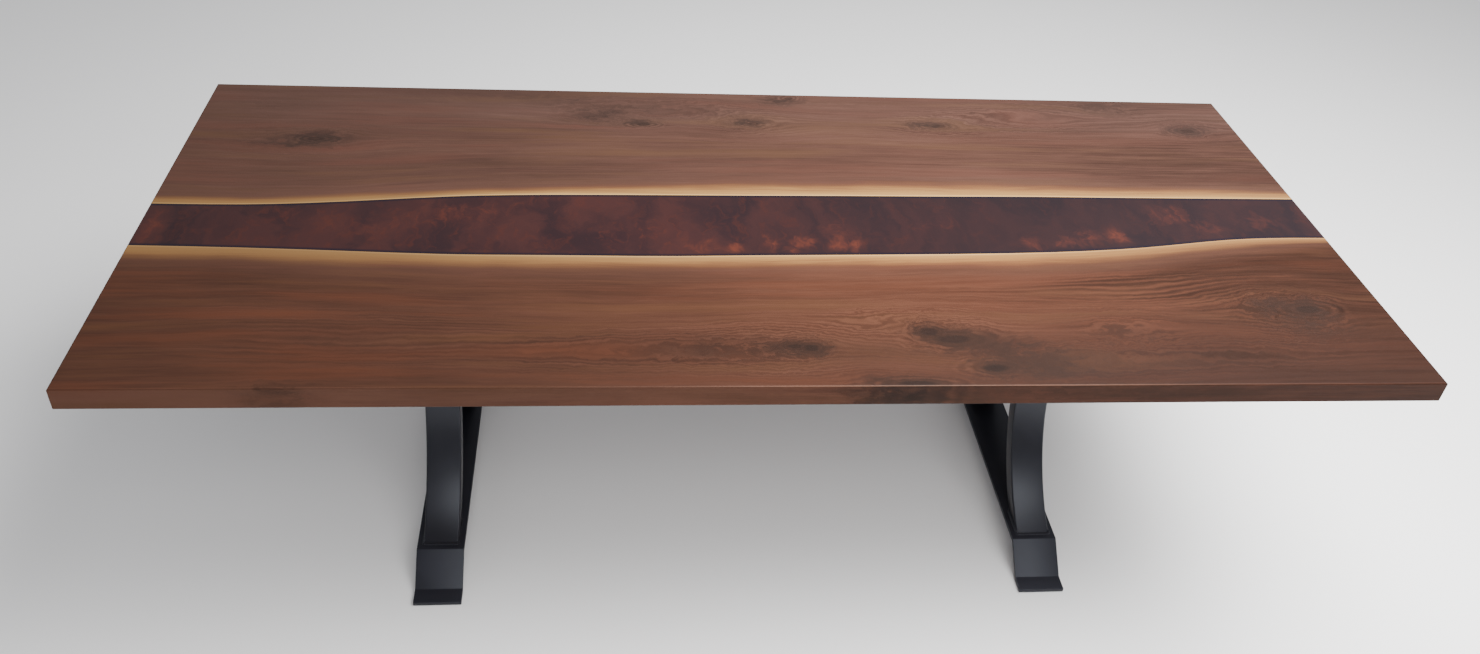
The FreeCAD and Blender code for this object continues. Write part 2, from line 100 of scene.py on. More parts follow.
# %% [markdown]
# ## The room
#
# A pale floor, two wide panels and a bright sky colour all round give the even light of a
# white showroom. A sun lamp would draw hard shadows. The panel over the right half is the
# stronger one, which lets the top grow darker towards the left. None stands behind the
# table, where the top would mirror it as a pale haze.

# %% Lay the floor and hang the lamps
SKY = (0.93, 0.95, 1.0, 1.0)
SKY_STRENGTH = 0.48
FLOOR_SIZE = 30.0


def lamp(name, size, power, place, aim):
    panel = bpy.data.lights.new(name, "AREA")
    panel.shape = "RECTANGLE"
    panel.size, panel.size_y = size
    panel.energy = power
    holder = bpy.data.objects.new(name, panel)
    holder.location = place
    holder.rotation_mode = "QUATERNION"
    holder.rotation_quaternion = (Vector(aim) - Vector(place)).to_track_quat("-Z", "Y")
    bpy.context.scene.collection.objects.link(holder)


lamp("panel_right", size=(2.4, 2.4), power=390.0, place=(1.3, -0.3, 3.0), aim=(1.1, -0.4, 0.0))
lamp("panel_front", size=(4.0, 2.0), power=150.0, place=(0.8, -3.1, 3.3), aim=(0.5, -2.1, 0.0))

world = bpy.data.worlds.new("room")
bpy.context.scene.world = world
world.use_nodes = True
sky = world.node_tree.nodes["Background"]
sky.inputs["Color"].default_value = SKY
sky.inputs["Strength"].default_value = SKY_STRENGTH

mesh = bmesh.new()
bmesh.ops.create_grid(mesh, x_segments=4, y_segments=4, size=FLOOR_SIZE)
floor = bpy.data.objects.new("floor", bpy.data.meshes.new("floor"))
mesh.to_mesh(floor.data)
mesh.free()
bpy.context.scene.collection.objects.link(floor)

# %% [markdown]
# ## Sums for finishes
#
# A finish is a pattern, and a pattern is a sum: how far is this spot from the live edge, how
# dark is the grain here, how much of the one and how much of the other. Wiring each sum by
# hand takes a dozen lines. The small class below wraps a socket, so that `a * 2 + b` puts
# the same Math nodes there. Numbers that only meet numbers never become nodes.

# %% A socket that takes part in sums
class Level:
    """One changing number of a finish."""

    def __init__(self, finish, socket):
        self.finish = finish
        self.socket = socket

    def __add__(self, other):
        return self.finish.math("ADD", self, other)

    __radd__ = __add__

    def __sub__(self, other):
        return self.finish.math("SUBTRACT", self, other)

    def __rsub__(self, other):
        return self.finish.math("SUBTRACT", other, self)

    def __mul__(self, other):
        return self.finish.math("MULTIPLY", self, other)

    __rmul__ = __mul__

    def __truediv__(self, other):
        return self.finish.math("DIVIDE", self, other)

    def __rpow__(self, other):
        return self.finish.math("POWER", other, self)

    def smooth(self, low, high):
        """0 below low, 1 above high, and a soft step between them."""
        step = self.finish.node("MapRange", {"interpolation_type": "SMOOTHSTEP"},
                                {0: self, 1: low, 2: high})
        return Level(self.finish, step.outputs[0])


# %% [markdown]
# A second class holds the material itself. One method makes every other node: it takes the
# node's type, then its settings, then what goes into its sockets. Colours and points in
# space have methods of their own, because a Math node would turn a colour grey. Knots and
# veils are ovals, and their outlines wander, so there is a method that measures an oval and
# one that moves the place it is measured from.

# %% A material that is put together in words
class Finish:
    """A node material for one of the table's finishes."""

    def __init__(self, name):
        self.material = bpy.data.materials.new(name)
        self.material.use_nodes = True
        self.tree = self.material.node_tree
        self.tree.nodes.clear()
        self.place = self.node("TexCoord").outputs["Object"]
        split = self.node("SeparateXYZ", {}, {0: self.place})
        self.x, self.y, self.z = (Level(self, socket) for socket in split.outputs)

    def node(self, kind, settings=None, sockets=None):
        made = self.tree.nodes.new("ShaderNode" + kind)
        for name, value in (settings or {}).items():
            if name == "stops":
                self.set_stops(made.color_ramp.elements, value)
            elif name == "points":
                self.set_points(made.mapping, value)
            else:
                setattr(made, name, value)
        for name, value in (sockets or {}).items():
            self.feed(made.inputs[name], value)
        return made

    def feed(self, socket, value):
        if isinstance(value, Level):
            value = value.socket
        if isinstance(value, bpy.types.NodeSocket):
            self.tree.links.new(value, socket)
        elif isinstance(value, tuple) and len(value) == 3 and socket.type == "RGBA":
            socket.default_value = (*value, 1.0)
        else:
            socket.default_value = value

    @staticmethod
    def set_stops(elements, stops):
        while len(elements) < len(stops):
            elements.new(1.0)
        for element, (position, color) in zip(elements, stops):
            element.position = position
            element.color = (*color, 1.0)

    @staticmethod
    def set_points(mapping, points):
        line = mapping.curves[0]
        while len(line.points) < len(points):
            line.points.new(1.0, 1.0)
        for knot, where in zip(line.points, points):
            knot.location = where
        mapping.update()

    def math(self, operation, *values):
        return Level(self, self.node("Math", {"operation": operation}, dict(enumerate(values))).outputs[0])

    def blend(self, first, second, share, way="MIX"):
        """A colour between two colours."""
        mix = self.node("Mix", {"data_type": "RGBA", "blend_type": way}, {0: share, 6: first, 7: second})
        return mix.outputs[2]

    def paint(self, color, *coats):
        """A colour under coats, each of which is a colour, its share and how it mixes."""
        for coat in coats:
            color = self.blend(color, *coat)
        return color

    def ramp(self, level, stops):
        return self.node("ValToRGB", {"stops": stops}, {0: level}).outputs["Color"]

    def point(self, x, y, z):
        return self.node("CombineXYZ", {}, {0: x, 1: y, 2: z}).outputs[0]

    def vector(self, operation, *values):
        made = self.node("VectorMath", {"operation": operation}, dict(enumerate(values)))
        return Level(self, made.outputs["Value"]) if operation == "DOT_PRODUCT" else made.outputs["Vector"]

    def clouds(self, where, stretch, detail, rough, twist):
        """A noise node with so many clouds to the metre along x, y and z."""
        stretched = self.vector("MULTIPLY", where, stretch)
        return self.node("TexNoise", {}, {"Vector": stretched, "Scale": 1.0, "Detail": detail,
                                          "Roughness": rough, "Distortion": twist})

    def noise(self, where, stretch, detail=2.0, rough=0.5, twist=0.0):
        """Cloudy noise, 0 to 1."""
        return Level(self, self.clouds(where, stretch, detail, rough, twist).outputs[0])

    def stray(self, stretch, detail, rough, twist=0.0):
        """A vector that strays evenly round zero, read from the colours of a noise."""
        made = self.clouds(self.place, stretch, detail, rough, twist)
        return self.vector("SUBTRACT", made.outputs["Color"], (0.5, 0.5, 0.5))

    def moved(self, shift, metres):
        """The place on the piece, moved by a stray vector times these lengths."""
        return self.vector("ADD", self.place, self.vector("MULTIPLY", shift, metres))

    def oval(self, where, x, y, long, wide):
        """The squared distance from a spot, which is 1 on the oval round it."""
        offset = self.vector("SUBTRACT", where, (x, y, 0.0))
        near = self.vector("MULTIPLY", offset, (1 / long, 1 / wide, 0.0))
        return self.vector("DOT_PRODUCT", near, near)

    def spot(self, where, *shape):
        """1 in the middle of an oval, and fading outwards."""
        return math.exp(-1) ** self.oval(where, *shape)

    def bump(self, height, depth, strength=1.0):
        """A normal for a surface whose relief is so many metres deep."""
        made = self.node("Bump", {}, {"Height": height, "Distance": depth, "Strength": strength})
        return made.outputs["Normal"]

    def surface(self, **sockets):
        shader = self.node("BsdfPrincipled", {},
                           {name.replace("_", " "): value for name, value in sockets.items()})
        self.node("OutputMaterial", {}, {"Surface": shader.outputs[0]})
        print(self.material.name, "uses", len(self.tree.nodes), "nodes")
        return self.material


# %% [markdown]
# The floor is the first and plainest finish: painted concrete, pale and a little warm, with
# clouds so faint that they only keep it from looking like paper.

# %% Paint the floor
painted = Finish("painted_floor")
clouds = painted.noise(painted.place, (0.8, 0.8, 0.8), detail=3.0)
floor.data.materials.append(painted.surface(
    Base_Color=painted.blend((0.86, 0.85, 0.84), (0.89, 0.882, 0.875), clouds),
    Roughness=0.55))

# %% [markdown]
# ## The two live edges
#
# Everything in the top is laid out from its live edges. The pale sapwood is a band along
# them, the grain runs beside them, and the resin darkens against them. The frame's resin
# solid already has both edges, so they are read from its upper rim and evened out to a row
# of points. A Float Curve node can then tell, for any place along the table, how far the
# edge is from the table's middle line.

# %% Read the live edges from the resin
TOP = frame_corners[1][2]
HALF_LENGTH = frame_corners[1][0]
HALF_WIDTH = frame_corners[1][1]
CURVE_POINTS = 33
RIVER_MIDDLE = -0.02
SKIN = 0.0001


def rim_line(side):
    """The live edge on one side as points in order along the table."""
    rim = {(v.co.x, v.co.y) for v in nodes["epoxy_river"].data.vertices
           if v.co.z > TOP - SKIN and (v.co.y > RIVER_MIDDLE) == (side > 0)}
    return sorted(rim)


def even_out(line):
    """The same line at even steps along the table."""
    points = []
    for step in range(CURVE_POINTS):
        x = -HALF_LENGTH + 2 * HALF_LENGTH * step / (CURVE_POINTS - 1)
        after = next((i for i, (along, _) in enumerate(line) if along > x), len(line) - 1)
        (xa, ya), (xb, yb) = line[max(after - 1, 0)], line[max(after, 1)]
        share = min(max((x - xa) / (xb - xa), 0), 1)
        points.append(ya + (yb - ya) * share)
    return points


live_edge = {side: even_out(rim_line(side)) for side in (-1, 1)}
rear_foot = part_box("slab_rear")[0].y
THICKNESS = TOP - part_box("slab_rear")[0].z
EDGE_LEAN = (min(live_edge[1]) - rear_foot) / THICKNESS
widths = [rear - front for front, rear in zip(*live_edge.values())]
print("edge lean:", round(EDGE_LEAN, 3), "river:", round(min(widths), 3), "to", round(max(widths), 3))


def along_table(finish, values):
    """A smooth level that runs through these values from the left end to the right end."""
    low, high = min(values), max(values)
    points = [(i / (len(values) - 1), (value - low) / (high - low)) for i, value in enumerate(values)]
    along = (finish.x + HALF_LENGTH) / (2 * HALF_LENGTH)
    curve = finish.node("FloatCurve", {"points": points}, {"Value": along})
    return Level(finish, curve.outputs[0]) * (high - low) + low


def edge_distance(finish, side):
    """Metres from the live edge into the wood, less than 0 in the resin, and the edge's y."""
    edge = along_table(finish, live_edge[side])
    return (finish.y - edge) * side + (TOP - finish.z) * EDGE_LEAN, edge


# %% [markdown]
# ## Walnut
#
# A walnut board is cocoa brown, streaked along its length in greyer, redder and paler
# browns with fine dark veins. Where a branch grew, the grain swings in rings round a dark
# smudge with a darker eye. Next to the live edge lies the cream sapwood, with a soft
# reddish border.
#
# A flat noise would show none of that order, so the pattern is built the way that the tree
# is. Each spot first gets its height across the growth lines. Near the live edge the lines
# follow the edge, further in they straighten, and each knot pushes them aside. All streaks
# are then noise that is stretched along the board and reads that height, from bands as
# wide as a hand down to single pores.

# %% Lay the grain of a board
STRAIGHT_AFTER = 0.42
ROUND_OVER = (0.001, 0.004)
DRIFT, WAVER, CURL = 0.05, 0.014, 0.06
KNOT_STRAY, EYE_STRAY = (0.07, 0.042, 0.0), (0.022, 0.014, 0.0)
# From broad bands to pores: clouds to the metre along and across the board, detail, roughness.
GRAIN = (
    (1.1, 14.0, 3.0, 0.55), (1.6, 20.0, 3.0, 0.55), (3.4, 85.0, 4.0, 0.62), (4.5, 130.0, 2.0, 0.55),
    (8.0, 300.0, 3.0, 0.6), (30.0, 950.0, 2.0, 0.6), (35.0, 1500.0, 1.0, 0.5),
)


class Walnut(Finish):
    """The finish of one board, and the patterns that its colours are read from."""

    def __init__(self, name, side, knots, eyes):
        super().__init__(name)
        self.side = side
        self.depth, edge = edge_distance(self, side)
        self.outer = HALF_WIDTH - self.y * side
        self.upper = self.outer.smooth(*ROUND_OVER)
        inward = self.depth.smooth(0.0, STRAIGHT_AFTER)
        mean_edge = sum(live_edge[side]) / len(live_edge[side]) * side
        drift = self.noise(self.place, (0.9, 2.2, 2.2), detail=1.0)
        self.ripple = self.noise(self.place, (5.0, 11.0, 11.0), detail=3.0)
        self.height = (self.depth + inward * (edge * side - mean_edge) + (drift - 0.5) * DRIFT
                       + (self.ripple - 0.5) * WAVER)
        shift = self.stray((26.0, 52.0, 52.0), 4.0, 0.62)
        bent = self.moved(shift, KNOT_STRAY)
        self.curl = self.noise(bent, (22.0, 40.0, 40.0), detail=4.0, rough=0.62, twist=1.0)
        self.grow_knots(bent, knots)
        self.open_eyes(self.moved(shift, EYE_STRAY), eyes)
        lines = self.point(self.x, self.height, self.z)
        layers = [self.noise(lines, (along, across, across), detail, rough)
                  for along, across, detail, rough in GRAIN]
        self.broad, self.warm, self.streak, self.vein, self.thread, self.fibre, self.pores = layers
        self.cloud = self.noise(bent, (2.6, 9.0, 9.0), detail=4.0, rough=0.55)

    def grow_knots(self, where, knots):
        """Swings the growth lines round each knot and gathers the dark smudges."""
        self.smudge = self.figure = 0.0
        for x, y, long, wide, push, dark in knots:
            fade = self.spot(where, x, y, long, wide)
            if push:
                self.height = self.height - fade * (self.y - y) * (push * self.side)
                self.figure = fade + self.figure
            if dark:
                self.smudge = fade * dark + self.smudge
        self.height = self.height + self.smudge * (self.curl - 0.5) * CURL

    def open_eyes(self, where, eyes):
        """Gathers the knots' eyes, and the rings of growth round them."""
        self.eye = self.halo = 0.0
        for *shape, dark in eyes:
            away = self.math("SQRT", self.oval(where, *shape))
            self.eye = (1 - (away + (self.curl - 0.5) * 1.6).smooth(0.35, 1.3)) * dark + self.eye
            self.halo = self.math("SINE", away * 8.0) * (1 - away.smooth(0.9, 3.4)) + self.halo


# %% [markdown]
# How light the heartwood is at a spot is one level, mixed from the layers of grain. It
# drifts along the board. The sawn outer edge face has levels of its own, lighter towards the
# left end and darker towards the right: painted light and shade for how the light falls on
# that face. At the sawn ends the growth rings show as arcs round a pith that lies under the
# board.

# %% Measure how light the heartwood is
GROWTH_RING = 0.0065
RING_WAVES = 640.0
PITH_Y, PITH_DEPTH, PITH_STRAY = 0.27, 0.15, 0.02


def end_grain(wood):
    """The growth rings where the board is sawn across, and 0 everywhere else."""
    pith = wood.vector("SUBTRACT", wood.place, (0.0, wood.side * PITH_Y, TOP - PITH_DEPTH))
    flat = wood.vector("MULTIPLY", pith, (0.0, 1.0, 1.0))
    growth = wood.math("SQRT", wood.vector("DOT_PRODUCT", flat, flat))
    growth = growth + (wood.ripple - 0.5) * PITH_STRAY
    sawn_end = 1 - (HALF_LENGTH - wood.math("ABSOLUTE", wood.x)).smooth(*ROUND_OVER)
    return sawn_end * (wood.math("SINE", growth * (2 * math.pi / GROWTH_RING)) * 0.06 - 0.04)


def heart_tone(wood, tones, edge_face_light):
    tone = (wood.broad * 0.18 + wood.cloud * 0.24 + wood.streak * 0.26 + wood.thread * 0.2
            + wood.fibre * 0.12)
    lively = wood.x.smooth(-0.9, 0.3)
    tone = (tone - 0.5) * (lively * 0.25 + wood.x.smooth(0.55, 1.15) * 0.25 + 0.75) + 0.5
    rings = wood.math("SINE", wood.height * RING_WAVES + wood.ripple * 9.0)
    ring_share = wood.figure.smooth(0.05, 0.8) * 0.075 + 0.008
    tone = tone + rings * ring_share * (lively * 0.6 + 0.4) + wood.halo * 0.14
    along_face = along_table(wood, tones) * wood.upper
    # The outer edge face takes its own levels along the table: painted light and shade, lighter on the
    # left and darker on the right.
    return tone + along_face + along_table(wood, edge_face_light) * (1 - wood.upper) + end_grain(wood)


# %% [markdown]
# The colours follow from the patterns: first the heartwood with its red and golden streaks,
# the other shade along the outer edge, its veins and its knots, then the sapwood, which is
# palest right at the resin. Last comes painted light on the rounded upper arris: painted
# shade darkens it, most towards the ends, to dim the highlight that the rounding catches
# from the lamps, and a painted highlight lies as a pale line along its crest.

# %% Mix the walnut
SAP = ((0.0, (0.25, 0.142, 0.051)), (0.3, (0.2, 0.108, 0.038)), (0.65, (0.135, 0.062, 0.025)),
       (1.0, (0.082, 0.032, 0.0155)))
FRESH_SAP, DIM_SAP, SAP_BORDER = (0.42, 0.275, 0.112), (0.096, 0.05, 0.021), (0.064, 0.031, 0.022)
VEIN, EYE, DUSK = (0.62, 0.6, 0.62), (0.01, 0.006, 0.0048), (0.0158, 0.007, 0.0049)
# The colour of the painted highlight along the crest of the arris.
ARRIS_HIGHLIGHT = (0.36, 0.21, 0.15)
# Where each change of colour begins and ends, in metres.
TINTED = (-0.7, 0.6)
WIDE_STRIP, SLIM_STRIP = (0.1, 0.24), (0.025, 0.07)
AT_RESIN = (0.001, 0.006)
ARRIS_IN, ARRIS_DOWN = (0.0004, 0.0036), (-0.0034, -0.0004)
RIDGE_IN, RIDGE_DOWN = (0.0004, 0.0022), (-0.002, -0.0006)
# How much painted shade dims the rounded arris, from the left end to the right.
ARRIS_SHADE = (0.6, 0.6, 0.55, 0.5, 0.3, 0.2, 0.25, 0.5, 0.65)
# How much painted highlight lies on the arris crest, from the left end to the right.
CREST_HIGHLIGHT = (0.0, 0.0, 0.0, 0.06, 0.26, 0.32, 0.2, 0.04, 0.0)


def heartwood(wood, tone, heart, red, gold, tint, knot_brown, outward, strip, rim):
    warmth = 0.55 - wood.x.smooth(0.6, 1.1) * 0.28
    patchy = wood.upper * (wood.cloud * 0.7 + wood.streak * 1.3 + wood.thread * 0.9 - 0.45)
    dark_vein = (1 - wood.vein.smooth(0.34, 0.56)) * wood.x.smooth(-0.2, 1.1)
    haze = wood.smudge * (wood.curl * 1.5 + wood.streak * 0.8 - 0.55)
    return wood.paint(
        wood.ramp(tone, heart),
        (tint, wood.x.smooth(*TINTED), "MULTIPLY"),
        (red, wood.warm.smooth(0.46, 0.74) * warmth),
        (gold, (1 - wood.warm.smooth(0.26, 0.5)) * warmth),
        (outward, along_table(wood, strip) * (1 - wood.outer.smooth(*WIDE_STRIP)) * patchy),
        (DUSK, along_table(wood, rim) * (1 - wood.outer.smooth(*SLIM_STRIP)) * patchy),
        (VEIN, dark_vein * 0.45, "MULTIPLY"),
        (knot_brown, haze.smooth(0.0, 0.66) * 0.85),
        (EYE, wood.eye * (wood.curl * 0.6 + wood.thread * 0.4 + 0.35)))


def add_sapwood(wood, brown, tint, sap_widths, sap_dims):
    sway = wood.noise(wood.place, (3.2, 0.5, 0.5), detail=3.0)
    share = wood.depth / (along_table(wood, sap_widths) * (sway * 0.9 + 0.55))
    grainy = (wood.streak - 0.5) * 0.5 + (wood.thread - 0.5) * 0.4
    cream = wood.paint(
        wood.ramp(share * 0.8 + grainy * 1.3 + 0.05, SAP),
        (FRESH_SAP, (1 - wood.depth.smooth(*AT_RESIN)) * 0.6),
        (DIM_SAP, along_table(wood, sap_dims)),
        (tint, wood.x.smooth(*TINTED) * 0.6, "MULTIPLY"))
    brown = wood.blend(brown, SAP_BORDER, (1 - share.smooth(1.1, 3.2)) * 0.3)
    return wood.blend(cream, brown, (share + grainy).smooth(0.5, 1.5))


def paint_arris_light(wood, color):
    up = wood.z - TOP
    # Painted shade on the rounded arris, which dims the highlight that it catches.
    shaded_band = (1 - wood.outer.smooth(*ARRIS_IN)) * up.smooth(*ARRIS_DOWN)
    # A painted highlight: a pale line along the crest of the arris.
    highlit_crest = (1 - wood.outer.smooth(*RIDGE_IN)) * up.smooth(*RIDGE_DOWN)
    return wood.paint(
        color,
        (DUSK, shaded_band * along_table(wood, ARRIS_SHADE)),
        (ARRIS_HIGHLIGHT, highlit_crest * along_table(wood, CREST_HIGHLIGHT) * (wood.streak + 0.5)))


def walnut(name, side, knots, eyes, tones, edge_face_light, sap_widths, sap_dims, tint, **browns):
    wood = Walnut(name, side, knots, eyes)
    brown = heartwood(wood, heart_tone(wood, tones, edge_face_light), tint=tint, **browns)
    color = paint_arris_light(wood, add_sapwood(wood, brown, tint, sap_widths, sap_dims))
    return wood.surface(
        Base_Color=color,
        Roughness=wood.streak * 0.12 + wood.pores * 0.1 + 0.33,
        Specular_IOR_Level=0.05,
        Normal=wood.bump(wood.pores.smooth(0.2, 0.55) + wood.fibre * 0.4, 0.00006))


# %% [markdown]
# The knots are listed one by one: where each lies, how long and wide its smudge is, how
# hard it pushes the grain and how dark it is. So are their eyes: place, length, width and
# strength. The rows of nine numbers run from the left end of the table to the right one.

# %% Finish both boards
REAR_KNOTS = (
    (-0.955, 0.285, 0.15, 0.05, 0.9, 0.45), (-0.945, 0.292, 0.05, 0.022, 1.8, 0.75),
    (-1.02, 0.262, 0.08, 0.02, 0.0, 0.35), (-0.34, 0.455, 0.15, 0.06, 1.0, 0.35),
    (-0.234, 0.38, 0.045, 0.018, 1.8, 0.78), (-0.33, 0.408, 0.07, 0.03, 1.6, 0.6),
    (0.024, 0.389, 0.045, 0.018, 1.8, 0.8), (0.024, 0.389, 0.12, 0.06, 0.9, 0.2),
    (0.104, 0.505, 0.06, 0.026, 1.4, 0.75), (-0.11, 0.45, 0.12, 0.05, 1.3, 0.45),
    (0.446, 0.389, 0.05, 0.018, 1.8, 0.75), (0.48, 0.392, 0.13, 0.05, 0.9, 0.25),
    (0.925, 0.498, 0.08, 0.034, 1.6, 0.7), (1.08, 0.39, 0.05, 0.026, 1.8, 0.7),
    (1.125, 0.392, 0.08, 0.04, 0.9, 0.45), (0.3, 0.49, 0.22, 0.05, 0.0, 0.25),
    (0.7, 0.44, 0.2, 0.06, 1.2, 0.12), (-0.7, 0.5, 0.2, 0.05, 0.0, 0.22),
    (-0.5, 0.505, 0.16, 0.03, 0.0, 0.25), (-1.08, 0.44, 0.14, 0.06, 0.0, 0.25),
)
FRONT_KNOTS = (
    (0.008, -0.428, 0.038, 0.02, 1.8, 0.85), (0.058, -0.431, 0.03, 0.02, 2.0, 1.0),
    (-0.11, -0.432, 0.11, 0.05, 0.4, 0.42), (0.01, -0.43, 0.12, 0.07, 0.7, 0.15),
    (0.278, -0.384, 0.034, 0.028, 1.8, 0.95), (0.338, -0.404, 0.06, 0.03, 1.4, 0.95),
    (0.315, -0.395, 0.13, 0.075, 0.8, 0.22), (0.376, -0.487, 0.045, 0.026, 2.0, 0.6),
    (0.47, -0.478, 0.09, 0.045, 0.8, 0.95), (0.425, -0.43, 0.08, 0.032, 0.0, 0.7),
    (0.175, -0.522, 0.08, 0.026, 0.6, 0.65), (0.27, -0.532, 0.11, 0.024, 0.0, 0.6),
    (0.975, -0.304, 0.042, 0.026, 2.0, 0.75), (1.058, -0.312, 0.05, 0.032, 1.4, 1.2),
    (1.02, -0.335, 0.12, 0.07, 0.8, 0.35), (1.04, -0.375, 0.08, 0.03, 0.0, 0.4),
    (-0.86, -0.53, 0.08, 0.018, 0.6, 0.5), (0.67, -0.378, 0.1, 0.04, 1.4, 0.3),
    (0.74, -0.25, 0.2, 0.05, 0.5, 0.0), (-0.3, -0.44, 0.22, 0.05, 0.8, 0.25),
    (0.15, -0.45, 0.12, 0.024, 0.0, 0.35), (0.62, -0.47, 0.14, 0.05, 1.0, 0.3),
    (-0.75, -0.4, 0.26, 0.06, 0.6, 0.18), (0.9, -0.45, 0.2, 0.04, 0.8, 0.22),
    (0.185, -0.352, 0.09, 0.03, 1.0, 0.0),
)
REAR_EYES = (
    (-0.947, 0.285, 0.022, 0.009, 0.25), (-0.228, 0.374, 0.02, 0.008, 0.35),
    (0.031, 0.384, 0.02, 0.008, 0.35), (0.474, 0.389, 0.022, 0.008, 0.35),
    (0.128, 0.515, 0.014, 0.008, 0.35), (1.095, 0.386, 0.02, 0.012, 0.4),
)
FRONT_EYES = (
    (0.024, -0.427, 0.014, 0.007, 0.7), (0.056, -0.431, 0.016, 0.011, 0.8),
    (0.28, -0.384, 0.018, 0.013, 0.8), (0.322, -0.406, 0.04, 0.014, 0.7),
    (0.381, -0.487, 0.03, 0.012, 1.0), (0.231, -0.527, 0.04, 0.008, 0.9),
    (1.056, -0.316, 0.032, 0.014, 0.7), (0.985, -0.306, 0.012, 0.006, 0.35),
)
rear_walnut = walnut(
    "walnut_rear", 1, REAR_KNOTS, REAR_EYES, knot_brown=(0.0215, 0.0132, 0.0108),
    heart=((0.14, (0.016, 0.0081, 0.006)), (0.34, (0.03, 0.0152, 0.0113)),
           (0.5, (0.052, 0.0257, 0.019)), (0.66, (0.081, 0.0413, 0.0303))),
    red=(0.066, 0.026, 0.018), gold=(0.062, 0.031, 0.017), tint=(1.05, 1.0, 0.97),
    sap_widths=(0.022, 0.022, 0.022, 0.036, 0.046, 0.044, 0.037, 0.033, 0.028),
    sap_dims=(0.6, 0.6, 0.3, 0.0, 0.0, 0.0, 0.1, 0.24, 0.34),
    tones=(-0.02, -0.02, -0.03, -0.03, -0.028, -0.015, -0.062, -0.12, -0.14),
    edge_face_light=(0.12, 0.09, 0.06, 0.03, 0.0, -0.03, -0.06, -0.09, -0.12),
    outward=(0.072, 0.044, 0.037),
    strip=(0.1, 0.18, 0.2, 0.22, 0.14, 0.14, 0.14, 0.2, 0.2),
    rim=(0.0, 0.05, 0.2, 0.15, 0.0, 0.1, 0.0, 0.05, 0.0))
front_walnut = walnut(
    "walnut_front", -1, FRONT_KNOTS, FRONT_EYES, knot_brown=(0.0165, 0.0086, 0.0063),
    heart=((0.14, (0.0105, 0.0049, 0.0034)), (0.34, (0.0225, 0.0105, 0.0071)),
           (0.5, (0.0435, 0.0184, 0.0117)), (0.66, (0.073, 0.032, 0.0204))),
    red=(0.064, 0.021, 0.011), gold=(0.056, 0.024, 0.012), tint=(1.05, 0.92, 0.82),
    sap_widths=(0.033, 0.034, 0.035, 0.038, 0.036, 0.034, 0.034, 0.025, 0.016),
    sap_dims=(0.68, 0.78, 0.64, 0.36, 0.12, 0.02, 0.32, 0.58, 0.6),
    tones=(-0.07, -0.06, -0.045, -0.035, 0.032, 0.042, -0.037, -0.145, -0.19),
    edge_face_light=(0.19, 0.16, 0.13, 0.1, 0.075, -0.04, -0.08, -0.11, -0.13),
    outward=DUSK,
    strip=(0.0, 0.02, 0.08, 0.16, 0.28, 0.42, 0.5, 0.5, 0.54),
    rim=(0.0, 0.0, 0.0, 0.0, 0.0, 0.1, 0.5, 0.55, 0.45))


def give(node, material):
    """Puts a material on a node of the frame."""
    for slot in nodes[node].material_slots:
        slot.link = "OBJECT"
        slot.material = material


give("slab_rear", rear_walnut)
give("slab_front", front_walnut)

# %% [markdown]
# ## Resin
#
# The river is one pour of dark purple-brown resin with copper mica stirred in. The mica
# hangs in veils, most of it near the front bank, and it glows red where light reaches it.
# Real depth would need light to travel inside the solid, which is slow and which a plain
# colour map can't carry. Veils at three sizes, twisted by their own noise, read as depth
# from a standing height, and a gloss like the wood's closes the surface. Each veil of
# copper is an oval, given by its place, length, width and strength.

# %% Pour the river
VEILS = (
    (-0.053, -0.122, 0.024, 0.02, 1.0), (-0.125, -0.12, 0.036, 0.024, 0.55),
    (0.07, -0.106, 0.016, 0.026, 0.85), (0.1, -0.098, 0.016, 0.03, 0.8),
    (0.155, -0.112, 0.016, 0.026, 0.7), (0.19, -0.106, 0.02, 0.034, 0.75),
    (0.02, -0.112, 0.018, 0.024, 0.6), (0.16, -0.05, 0.03, 0.04, 0.35),
    (0.56, -0.1, 0.03, 0.02, 0.55), (0.64, -0.092, 0.03, 0.018, 0.6),
    (0.7, -0.066, 0.026, 0.028, 0.6), (0.755, -0.072, 0.02, 0.028, 0.65),
    (0.9, 0.01, 0.06, 0.036, 0.4), (0.973, -0.045, 0.045, 0.028, 0.4),
    (-0.61, 0.0, 0.09, 0.05, 0.48), (-0.8, -0.05, 0.1, 0.04, 0.3),
    (-1.195, -0.06, 0.018, 0.05, 0.6), (-0.256, -0.07, 0.1, 0.05, 0.26),
    (1.1, 0.0, 0.06, 0.04, 0.3), (-0.42, 0.04, 0.08, 0.05, 0.24),
    (0.38, -0.02, 0.08, 0.05, 0.2), (-0.95, -0.01, 0.06, 0.04, 0.28),
)
PURPLE, UMBER, RUST = (0.0145, 0.0072, 0.0084), (0.028, 0.0105, 0.0098), (0.04, 0.0115, 0.008)
COPPER, GLOOM, SHORE = (0.067, 0.0178, 0.0108), (0.007, 0.0058, 0.0072), (0.006, 0.0045, 0.009)
AT_SHORE = (0.003, 0.01)
GLOOMY = (0.0, 0.08, 0.0, 0.0, 0.24, 0.42, 0.6, 0.6, 0.38)


